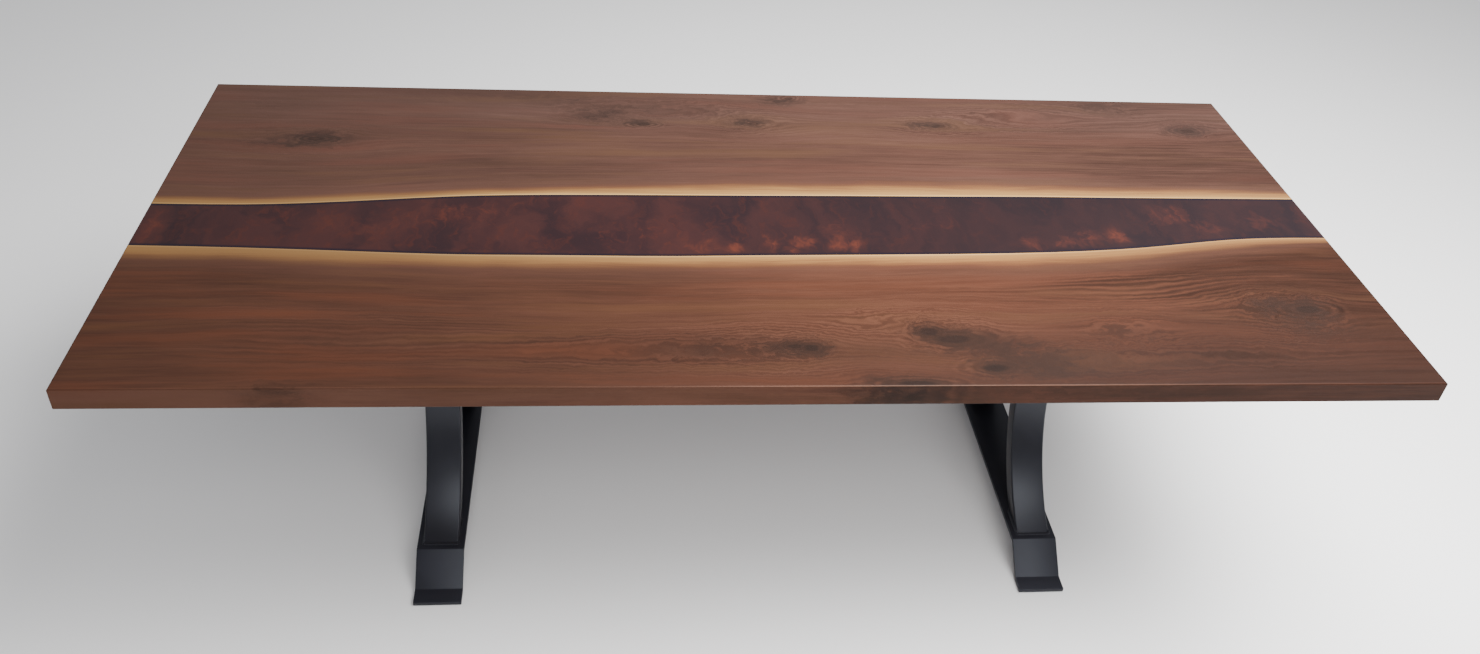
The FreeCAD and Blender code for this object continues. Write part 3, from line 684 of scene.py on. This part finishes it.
def pour_resin():
    resin = Finish("river_resin")
    rear, _ = edge_distance(resin, 1)
    front, _ = edge_distance(resin, -1)
    shore = resin.math("MINIMUM", rear * -1, front * -1)
    bent = resin.moved(resin.stray((20.0, 20.0, 20.0), 3.0, 0.55, 0.6), (0.06, 0.1, 0.0))
    twist = resin.noise(bent, (9.0, 5.0, 5.0), detail=4.0, rough=0.5, twist=0.8)
    veil = resin.noise(bent, (34.0, 15.0, 15.0), detail=4.0, rough=0.55, twist=1.4)
    wisp = resin.noise(bent, (95.0, 40.0, 40.0), detail=3.0, rough=0.55, twist=1.0)
    copper = 0.0
    for *shape, strength in VEILS:
        copper = resin.spot(bent, *shape) * strength + copper
    glow = copper * (veil * 1.5 + wisp * 0.7 - 0.52)
    color = resin.paint(
        PURPLE,
        (UMBER, twist.smooth(0.32, 0.68)),
        (RUST, (veil * 0.7 + wisp * 0.3).smooth(0.48, 0.74) * 0.6),
        (GLOOM, along_table(resin, GLOOMY)),
        (COPPER, glow.smooth(0.0, 0.72) * 0.8),
        (SHORE, (1 - shore.smooth(*AT_SHORE)) * 0.8))
    swell = resin.noise(resin.place, (7.0, 7.0, 7.0), detail=0.0)
    return resin.surface(
        Base_Color=color,
        Roughness=swell * 0.04 + 0.26,
        Specular_IOR_Level=0.1,
        Normal=resin.bump(swell, 0.0006, 0.5))


give("epoxy_river", pour_resin())

# %% [markdown]
# ## Black steel
#
# The legs are sprayed semi-gloss black. Such a coat is smooth, but not a mirror: it has a
# faint orange peel, and its gloss is a little duller here and there. Both are small noises,
# one in the relief and one in the roughness. A plain dark colour would look like a hole.
# The flat bars are hot rolled, and their scale shows through the coat as a duller gloss.
# The moulded rubber of the pads has the same faint patches and a coarser skin. Screws and
# washers are bright zinc.

# %% Mix the paints, the rubber and the zinc
SCALE_DULL = 0.42


def sprayed(name, dark, pale, dullness, peel):
    paint = Finish(name)
    patch = paint.noise(paint.place, (9.0, 9.0, 9.0), detail=3.0)
    grain = paint.noise(paint.place, (420.0, 420.0, 420.0), detail=1.0)
    return paint.surface(
        Base_Color=paint.blend(dark, pale, patch.smooth(0.35, 0.75)),
        Roughness=patch * 0.1 + grain * 0.04 + dullness,
        Specular_IOR_Level=0.28,
        # The bluish tint on the gloss is a painted reflection colour, for cool daylight.
        Specular_Tint=(0.85, 0.9, 1.0),
        Normal=paint.bump(grain, peel))


def plated(name):
    zinc = Finish(name)
    cloud = zinc.noise(zinc.place, (160.0, 160.0, 160.0), detail=3.0)
    return zinc.surface(
        Base_Color=zinc.blend((0.42, 0.42, 0.41), (0.62, 0.62, 0.6), cloud),
        Metallic=1.0,
        Roughness=cloud * 0.15 + 0.28)


# The black is the paints' own colour; the faint blue in the leg and bar paints is a painted reflection of
# cool daylight.
leg_paint = sprayed("leg_paint", (0.0118, 0.0112, 0.0143), (0.0162, 0.0156, 0.0202),
                    dullness=0.27, peel=0.00002)
bar_paint = sprayed("bar_paint", (0.0122, 0.012, 0.016), (0.0172, 0.017, 0.0226),
                    dullness=SCALE_DULL, peel=0.00004)
channel_paint = sprayed("channel_paint", (0.018, 0.018, 0.019), (0.026, 0.026, 0.027),
                        dullness=SCALE_DULL, peel=0.00004)
pad_rubber = sprayed("pad_rubber", (0.014, 0.014, 0.014), (0.022, 0.022, 0.021),
                     dullness=0.7, peel=0.00008)
zinc_plate = plated("zinc_plate")
give("stiffening_channel", channel_paint)
for node in nodes:
    if node.startswith(("waist_block", "bow")):
        give(node, leg_paint)
    elif node.startswith(("top_plate", "foot_strap")):
        give(node, bar_paint)
    elif node.startswith("foot_pad"):
        give(node, pad_rubber)
    elif node.startswith(("leg_screws", "leg_washers", "channel_screws")):
        give(node, zinc_plate)

# %% [markdown]
# ## A bench for new pieces
#
# Each new piece is shaped in a bmesh with its place already in its points. This helper
# turns the shape into an object, turns its faces outwards, keeps crisp edges crisp, and
# tells the frame what the piece rides on, which finish it takes and which plain solid it
# stands for.

# %% Finish a piece
CRISP = math.radians(35)
SAME_SPOT = 1e-6


def set_down(name, shape, material, stands_for=()):
    bmesh.ops.remove_doubles(shape, verts=shape.verts[:], dist=SAME_SPOT)
    bmesh.ops.recalc_face_normals(shape, faces=shape.faces[:])
    loose = [edge for edge in shape.edges if len(edge.link_faces) != 2]
    piece = bpy.data.objects.new(name, bpy.data.meshes.new(name))
    shape.to_mesh(piece.data)
    shape.free()
    piece.data.shade_smooth()
    piece.data.set_sharp_from_angle(angle=CRISP)
    piece.data.materials.append(material)
    bpy.context.scene.collection.objects.link(piece)
    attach(piece, "root")
    if stands_for:
        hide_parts(*stands_for)
    low, high = (Vector(map(pick, *(v.co for v in piece.data.vertices))) for pick in (min, max))
    print(name, "faces:", len(piece.data.polygons), "open edges:", len(loose),
          "mm:", [round(1000 * v, 1) for v in (*low, *high)])


# %% [markdown]
# Four small jobs come back at every piece: picking points or edges out of what an operator
# returns, finding the edges that meet a ring of points, telling which edges are sharp, and
# rounding edges off.

# %% Pick, find and round off
SHARP_FOLD = math.radians(60)


def only(kind, parts):
    """The parts of one kind, such as points, among what an operator returns."""
    return [part for part in parts if isinstance(part, kind)]


def edges_at(points):
    """The edges that meet these points, each once and in a steady order."""
    return list(dict.fromkeys(edge for point in points for edge in point.link_edges))


def is_sharp(edge):
    return len(edge.link_faces) == 2 and edge.calc_face_angle() > SHARP_FOLD


def round_off(shape, parts, reach, steps, affect="EDGES"):
    bmesh.ops.bevel(shape, geom=parts, affect=affect, offset=reach, segments=steps,
                    profile=0.5, material=-1)


# %% [markdown]
# ## The bows
#
# Each leg is an hourglass of two bows, and each bow is rectangular tube, rolled to a long
# curve. Rolled tube keeps its rounded corners and its wall. A grid of one face is the cut
# end: its corners are rounded with a bevel and its middle taken out with an inset. The
# spin is the rolling. Both ends are then sawn level, which is one bisect each, and bridging
# the two rims of a cut closes the wall again.

# %% Roll the bows
LEG_X = 0.668
TUBE_WIDTH, TUBE_DEPTH, TUBE_WALL, TUBE_CORNER = 0.0762, 0.0381, 0.003, 0.0042
CORNER_STEPS, BOW_STEPS = 5, 72
SAWN_OFF = math.radians(4)
low_corner, high_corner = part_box("bow_rear_right")
WAIST_REAR = low_corner.y
LANDING = high_corner.y
SAWN_LOW, SAWN_HIGH = low_corner.z, high_corner.z
HALF_BOW = (SAWN_HIGH - SAWN_LOW) / 2
BOW_Z = (SAWN_HIGH + SAWN_LOW) / 2
SAG = LANDING - WAIST_REAR - TUBE_DEPTH
HOLLOW = (HALF_BOW ** 2 + SAG ** 2) / (2 * SAG)
BOW_Y = LANDING + math.sqrt(HOLLOW ** 2 - HALF_BOW ** 2)
print("hollow radius:", round(HOLLOW, 4), "centre:", round(BOW_Y, 4), round(BOW_Z, 4))


def tube_end(shape, across, deep, wall, corner):
    """The cut end of a tube as a ring of faces, flat on the ground."""
    bmesh.ops.create_grid(shape, x_segments=1, y_segments=1, size=0.5)
    bmesh.ops.scale(shape, vec=(across, deep, 1.0), verts=shape.verts[:])
    round_off(shape, shape.verts[:], corner, CORNER_STEPS, "VERTICES")
    middle = shape.faces[:]
    bmesh.ops.inset_region(shape, faces=middle, thickness=wall, use_boundary=True,
                           use_even_offset=True)
    bmesh.ops.delete(shape, geom=middle, context="FACES")


def saw_level(shape, height, upwards):
    """Cuts a tube at a height, drops what is beyond, and closes its wall."""
    whole = shape.verts[:] + shape.edges[:] + shape.faces[:]
    cut = bmesh.ops.bisect_plane(shape, geom=whole, plane_co=(0, 0, height),
                                 plane_no=(0, 0, 1 if upwards else -1), clear_outer=True)
    bmesh.ops.bridge_loops(shape, edges=only(BMEdge, cut["geom_cut"]))


def roll_bow(x, side):
    shape = bmesh.new()
    tube_end(shape, TUBE_WIDTH, TUBE_DEPTH, TUBE_WALL, TUBE_CORNER)
    centre = Vector((x, BOW_Y * side, BOW_Z))
    bmesh.ops.translate(shape, vec=centre - Vector((0, (HOLLOW + TUBE_DEPTH / 2) * side, 0)),
                        verts=shape.verts[:])
    reach = math.asin(HALF_BOW / HOLLOW) + SAWN_OFF
    bmesh.ops.rotate(shape, cent=centre, matrix=Matrix.Rotation(-reach, 3, "X"), verts=shape.verts[:])
    bmesh.ops.spin(shape, geom=shape.verts[:] + shape.edges[:] + shape.faces[:], cent=centre,
                   axis=(1, 0, 0), angle=2 * reach, steps=BOW_STEPS)
    saw_level(shape, SAWN_HIGH, True)
    saw_level(shape, SAWN_LOW, False)
    return shape


LEGS = {"left": -LEG_X, "right": LEG_X}
SIDES = {"front": -1, "rear": 1}
for leg, x in LEGS.items():
    for end, side in SIDES.items():
        node = f"bow_{end}_{leg}"
        set_down(f"rolled_{node}", roll_bow(x, side), leg_paint, [node])

# %% [markdown]
# ## The foot straps
#
# A strap is one length of flat bar: a short lip on the floor, a slope up, a long level
# middle that clears the floor, and the same again down. It starts as a strip of five faces
# whose rows of points are moved to the bends. Solidify gives it the bar's thickness, one
# bevel rounds the bends and a finer one breaks the sawn edges, which is what catches the
# light on real bar.

# %% Bend the straps
BAR = 0.0095
LIP_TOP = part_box("foot_strap_right")[0].z + BAR
TOE = 0.346
SLOPE = math.radians(40)
SHOULDER = TOE - (SAWN_LOW - LIP_TOP) / math.tan(SLOPE)
TIP_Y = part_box("foot_strap_right")[1].y
STRAP_WIDTH = 0.1016
BEND_RADIUS, BROKEN_EDGE = 0.004, 0.0007
BEND_STEPS, BROKEN_STEPS = 3, 2


def is_bend(edge):
    """Whether an edge crosses the bar, away from its two tips."""
    here, there = (point.co for point in edge.verts)
    return (abs(here.y - there.y) < SAME_SPOT and abs(here.x - there.x) > STRAP_WIDTH / 2
            and abs(here.y) < (TOE + TIP_Y) / 2)


def bend_strap(x):
    rows = [(-TIP_Y, LIP_TOP), (-TOE, LIP_TOP), (-SHOULDER, SAWN_LOW),
            (SHOULDER, SAWN_LOW), (TOE, LIP_TOP), (TIP_Y, LIP_TOP)]
    strips = len(rows) - 1
    shape = bmesh.new()
    bmesh.ops.create_grid(shape, x_segments=1, y_segments=strips, size=0.5)
    for point in shape.verts:
        y, z = rows[round((point.co.y + 0.5) * strips)]
        point.co = (x + STRAP_WIDTH * point.co.x, y, z)
    bmesh.ops.solidify(shape, geom=shape.faces[:], thickness=BAR)
    bends = [edge for edge in shape.edges if is_bend(edge)]
    round_off(shape, bends, BEND_RADIUS * math.tan(SLOPE / 2), BEND_STEPS)
    sawn = [edge for edge in shape.edges if is_sharp(edge)]
    round_off(shape, sawn, BROKEN_EDGE, BROKEN_STEPS)
    return shape


for leg, x in LEGS.items():
    set_down(f"bent_foot_strap_{leg}", bend_strap(x), bar_paint, [f"foot_strap_{leg}"])

# %% [markdown]
# ## The waist blocks
#
# Where the two bows of a leg come closest, a short piece of heavier tube joins them. It is
# a straight tube, so an extrude does what the spin did for the bows. It is a hair longer
# than the gap, so its ends bite into the curved bows at mid height, and the weld covers what
# stays open above and below.

# %% Cut the waist blocks
BLOCK_WALL, BLOCK_CORNER = 0.005, 0.006
BLOCK_SPARE = 0.0012


def cut_block(x, node):
    low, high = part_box(node)
    shape = bmesh.new()
    tube_end(shape, high.x - low.x, high.z - low.z, BLOCK_WALL, BLOCK_CORNER)
    bmesh.ops.rotate(shape, cent=(0, 0, 0), matrix=Matrix.Rotation(math.radians(90), 3, "X"),
                     verts=shape.verts[:])
    length = 2 * WAIST_REAR + BLOCK_SPARE
    bmesh.ops.translate(shape, vec=(x, length / 2, (low.z + high.z) / 2), verts=shape.verts[:])
    grown = bmesh.ops.extrude_face_region(shape, geom=shape.faces[:])["geom"]
    bmesh.ops.translate(shape, vec=(0, -length, 0), verts=only(BMVert, grown))
    return shape


for leg, x in LEGS.items():
    node = f"waist_block_{leg}"
    set_down(f"tube_{node}", cut_block(x, node), leg_paint, [node])

# %% [markdown]
# ## Weld beads
#
# Every joint of the legs is welded, and the paint doesn't hide it: a bead as thick as a
# pencil lead runs round each foot, each head and each waist, in small overlapping ripples.
# A torus has no corners, so the bead is swept instead. A ring of eight edges is extruded
# from station to station along the seam, and its size swells and shrinks with each ripple.
# The last ring is bridged to the first.

# %% Sweep a bead along a seam
RIPPLE = 0.003
STATIONS_PER_RIPPLE = 3
THIN, SWELL = 0.86, 0.2
BEAD_SIDES = 8


def seam(across, deep, corner):
    """A rounded rectangle as even stations round its middle."""
    sides = (across - 2 * corner, deep - 2 * corner)
    length = 2 * sum(sides) + 2 * math.pi * corner
    count = round(length / RIPPLE) * STATIONS_PER_RIPPLE
    stations = []
    for step in range(count):
        left = length * step / count
        heading = 0
        spot = Vector((across / 2, -sides[1] / 2))
        while True:
            run = sides[1 - heading % 2]
            turn = Matrix.Rotation(math.pi / 2 * heading, 2)
            if left <= run:
                spot = spot + turn @ Vector((0, left))
                break
            spot, left = spot + turn @ Vector((0, run)), left - run
            arc = math.pi / 2 * corner
            pivot = spot - turn @ Vector((corner, 0))
            swing = min(left / corner, math.pi / 2)
            spot = pivot + Matrix.Rotation(swing, 2) @ (spot - pivot)
            if left <= arc:
                break
            left -= arc
            heading += 1
        stations.append(spot)
    return stations


def sweep_bead(stations, up, thickness):
    """A rippled ring swept along closed stations, as a mesh to copy from."""
    shape = bmesh.new()
    poses = []
    for step, here in enumerate(stations):
        ahead = (stations[(step + 1) % len(stations)] - stations[step - 1]).normalized()
        ripple = step % STATIONS_PER_RIPPLE / (STATIONS_PER_RIPPLE - 1)
        size = thickness * (THIN + SWELL * ripple)
        turn = Matrix((ahead.cross(up), up, ahead)).transposed().to_4x4()
        poses.append(Matrix.Translation(here) @ turn @ Matrix.Scale(size, 4))
    ring = bmesh.ops.create_circle(shape, segments=BEAD_SIDES, radius=1.0)["verts"]
    bmesh.ops.transform(shape, matrix=poses[0], verts=ring)
    first = last = edges_at(ring)
    for before, after in zip(poses, poses[1:]):
        grown = bmesh.ops.extrude_edge_only(shape, edges=last)["geom"]
        ring = only(BMVert, grown)
        last = [edge for edge in only(BMEdge, grown)
                if all(point in ring for point in edge.verts)]
        bmesh.ops.transform(shape, matrix=after @ before.inverted(), verts=ring)
    bmesh.ops.bridge_loops(shape, edges=first + last)
    bead = bpy.data.meshes.new("bead")
    shape.to_mesh(bead)
    shape.free()
    return bead


# %% [markdown]
# The seams lie where the tube meets the bar and the plate, and where the block meets the
# bows. The end of a tube is longer than the tube is deep, because it lands at a slant. Each
# kind of seam is swept once and then copied to its places.

# %% Weld both legs
BEAD = 0.0034
SUNK = 0.0006
outer_landing = BOW_Y - math.sqrt((HOLLOW + TUBE_DEPTH) ** 2 - HALF_BOW ** 2)
block_low, block_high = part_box("waist_block_right")

end_seam = [Vector((spot.x, spot.y, 0))
            for spot in seam(TUBE_WIDTH, LANDING - outer_landing, TUBE_CORNER)]
waist_seam = []
for spot in seam(block_high.x - block_low.x, block_high.z - block_low.z, BLOCK_CORNER):
    back = BOW_Y - math.sqrt((HOLLOW + TUBE_DEPTH) ** 2 - spot.y ** 2)
    waist_seam.append(Vector((spot.x, back - SUNK, spot.y)))
end_bead = sweep_bead(end_seam, Vector((0, 0, 1)), BEAD)
waist_bead = sweep_bead(waist_seam, Vector((0, 1, 0)), BEAD)


def weld_leg(x):
    shape = bmesh.new()
    for side in SIDES.values():
        centre_y = side * (LANDING + outer_landing) / 2
        for bead, place in ((end_bead, Matrix.Translation((x, centre_y, SAWN_LOW + SUNK))),
                            (end_bead, Matrix.Translation((x, centre_y, SAWN_HIGH - SUNK))),
                            (waist_bead, Matrix.Translation((x, 0, BOW_Z))
                             @ Matrix.Diagonal((side, side, 1, 1)))):
            shape.from_mesh(bead)
            shape.verts.ensure_lookup_table()
            bmesh.ops.transform(shape, matrix=place, verts=shape.verts[-len(bead.vertices):])
    return shape


for leg, x in LEGS.items():
    set_down(f"weld_beads_{leg}", weld_leg(x), leg_paint)
for bead in (end_bead, waist_bead):
    bpy.data.meshes.remove(bead)

# %% [markdown]
# ## Screws, washers and pads
#
# Coach screws hold the legs and the channel from below. A real hexagon head isn't a sharp
# prism: its outer face is chamfered so that it doesn't cut the hand, and a fine bevel on that
# rim says the same.

# %% Turn the screws
SQRT_3 = math.sqrt(3)
LEG_HEAD, LEG_SHANK = 0.013, 0.008
CHANNEL_HEAD, CHANNEL_SHANK = 0.01, 0.006
CHANNEL_ROWS = (-0.42, -0.24, 0.24, 0.42)
CHAMFER, CHAMFER_STEPS = 0.0007, 2
ROUND_SIDES = 24
TOUCH = 1e-5


def turn_screw(shape, x, y, seat, flats, head, shank, tip):
    """A coach screw that points up, its head under the level named seat."""
    corner = flats / SQRT_3
    nut = bmesh.ops.create_cone(shape, cap_ends=True, segments=6, radius1=corner, radius2=corner,
                                depth=seat - head, matrix=Matrix.Translation((x, y, (seat + head) / 2)))
    rim = [edge for edge in edges_at(nut["verts"])
           if all(point.co.z < head + TOUCH for point in edge.verts)]
    round_off(shape, rim, CHAMFER, CHAMFER_STEPS)
    bmesh.ops.create_cone(shape, cap_ends=True, segments=ROUND_SIDES, radius1=shank / 2,
                          radius2=shank / 2, depth=tip - seat,
                          matrix=Matrix.Translation((x, y, (tip + seat) / 2)))


def screw_set(node, across, rows, seat, flats, shank):
    low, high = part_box(node)
    middle = (low.x + high.x) / 2
    shape = bmesh.new()
    for x in across:
        for y in rows:
            turn_screw(shape, middle + x, y, seat, flats, low.z, shank, high.z)
    set_down(f"turned_{node}", shape, zinc_plate, [node])


# %% [markdown]
# A leg screw passes a slot, so a square washer spreads its pull. A round ring of edges and a
# square one are bridged, thickened by an extrude, and the punched outer rim loses its burr
# to a small bevel.

# %% Punch the washers
WASHER, WASHER_HOLE, BURR = 0.024, 0.0082, 0.0003


def punch_washer(shape, x, y, low, high):
    spot = Matrix.Translation((x, y, low))
    inner = bmesh.ops.create_circle(shape, segments=ROUND_SIDES, radius=WASHER_HOLE / 2,
                                    matrix=spot)["verts"]
    outer = bmesh.ops.create_circle(shape, segments=4, radius=WASHER / math.sqrt(2),
                                    matrix=spot @ Matrix.Rotation(math.pi / 4, 4, "Z"))["verts"]
    inner_rim = edges_at(inner)
    cut = bmesh.ops.subdivide_edges(shape, edges=edges_at(outer), cuts=ROUND_SIDES // 4 - 1)["geom"]
    outer_rim = only(BMEdge, cut)
    plate = bmesh.ops.bridge_loops(shape, edges=inner_rim + outer_rim)["faces"]
    grown = bmesh.ops.extrude_face_region(shape, geom=plate, use_keep_orig=True)["geom"]
    bmesh.ops.translate(shape, vec=(0, 0, high - low), verts=only(BMVert, grown))
    reach = WASHER / 2 - TOUCH
    burr = [edge for edge in shape.edges if is_sharp(edge)
            and all(max(abs(point.co.x - x), abs(point.co.y - y)) > reach for point in edge.verts)]
    round_off(shape, burr, BURR, 1)


# %% [markdown]
# The frame tells where the screws of each leg stand, and how thick their washers are.

# %% Fasten the legs and the channel
for leg in LEGS:
    low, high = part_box(f"leg_screws_{leg}")
    row = high.y - LEG_HEAD / SQRT_3
    half_gauge = (high.x - low.x - LEG_HEAD) / 2
    under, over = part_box(f"leg_washers_{leg}")
    screw_set(f"leg_screws_{leg}", (-half_gauge, half_gauge), (-row, row), under.z, LEG_HEAD, LEG_SHANK)
    shape = bmesh.new()
    for x in (low.x + LEG_HEAD / 2, high.x - LEG_HEAD / 2):
        for y in (-row, row):
            punch_washer(shape, x, y, under.z, over.z)
    set_down(f"punched_leg_washers_{leg}", shape, zinc_plate, [f"leg_washers_{leg}"])
screw_set("channel_screws", (0.0,), CHANNEL_ROWS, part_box("stiffening_channel")[0].z,
          CHANNEL_HEAD, CHANNEL_SHANK)

# %% [markdown]
# The rubber pads keep the feet off the floor and are moulded with soft edges, so they start
# as a box and lose every edge to one bevel.

# %% Mould the pads
PAD_EDGE, PAD_STEPS = 0.0009, 3

for leg in LEGS:
    for end in SIDES:
        node = f"foot_pad_{end}_{leg}"
        low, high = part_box(node)
        shape = bmesh.new()
        bmesh.ops.create_cube(shape, size=1.0)
        bmesh.ops.scale(shape, vec=high - low, verts=shape.verts[:])
        bmesh.ops.translate(shape, vec=(low + high) / 2, verts=shape.verts[:])
        round_off(shape, shape.edges[:], PAD_EDGE, PAD_STEPS)
        set_down(f"moulded_{node}", shape, pad_rubber, [node])
